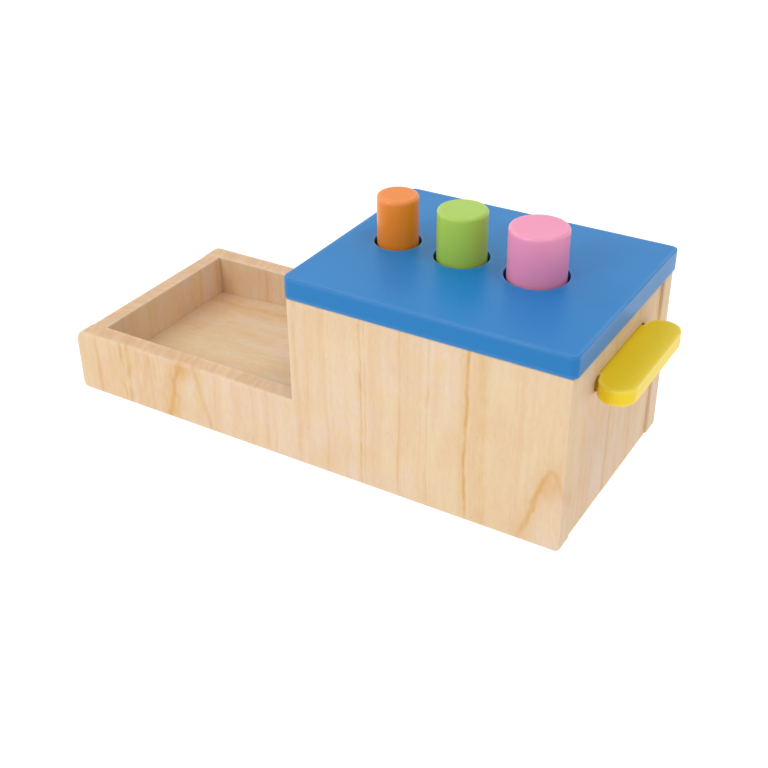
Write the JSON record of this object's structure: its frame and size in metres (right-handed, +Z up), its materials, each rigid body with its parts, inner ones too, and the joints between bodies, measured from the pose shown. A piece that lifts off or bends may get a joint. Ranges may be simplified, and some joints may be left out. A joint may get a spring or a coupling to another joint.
{
  "type": "object permanence box",
  "caption": "Wooden toy box: painted pegs stand in the holes of a lid on a sliding gate; pulling its handle drops them on a ramp that leads out into an open tray.",
  "frame": {"origin": "centre of the base's underside, on the surface that the box stands on, midway along and between the long side panels", "axes": "+X from the tray to the handle, along the way that the gate is pulled; +Y across the box, from the front panel to the back panel; +Z up"},
  "size_m": [0.3813, 0.1526, 0.16],
  "materials": {
    "bare_wood": "sanded bare pale wood, matte",
    "plywood": "sanded bare plywood, matte",
    "dowel_wood": "bare beech, glued in",
    "blue_paint": "satin blue paint on wood",
    "yellow_paint": "satin yellow paint on wood",
    "orange_paint": "satin orange paint on wood",
    "green_paint": "satin green paint on wood",
    "pink_paint": "satin pink paint on wood",
    "screw_steel": "zinc plated steel"
  },
  "bodies": {
    "box": {"front_panel": "bare_wood", "back_panel": "bare_wood", "tray_end_wall": "bare_wood", "box_end_wall": "bare_wood", "base_board": "bare_wood", "header_board": "bare_wood", "lid": "blue_paint", "ramp_board": "plywood", "ramp_wedge_front": "bare_wood", "ramp_wedge_back": "bare_wood", "gate_rail_front": "bare_wood", "gate_rail_back": "bare_wood", "base_dowels": "dowel_wood", "tray_end_dowels": "dowel_wood", "box_end_dowels": "dowel_wood", "header_dowels": "dowel_wood", "lid_dowels": "dowel_wood", "rail_pins": "dowel_wood"},
    "gate": {"gate_board": "yellow_paint", "stop_bar": "bare_wood", "stop_bar_screws": "screw_steel"},
    "small_peg": {"small_peg": "orange_paint"},
    "medium_peg": {"medium_peg": "green_paint"},
    "large_peg": {"large_peg": "pink_paint"}
  },
  "joints": [
    {"name": "gate_slide", "type": "slide", "parent": "box", "child": "gate", "axis": [1, 0, 0], "range_m": [0, 0.1305]},
    {"name": "small_peg_lift", "type": "slide", "parent": "box", "child": "small_peg", "axis": [0, 0, 1], "range_m": [0, 0.045]},
    {"name": "medium_peg_lift", "type": "slide", "parent": "box", "child": "medium_peg", "axis": [0, 0, 1], "range_m": [0, 0.045]},
    {"name": "large_peg_lift", "type": "slide", "parent": "box", "child": "large_peg", "axis": [0, 0, 1], "range_m": [0, 0.045]}
  ]
}
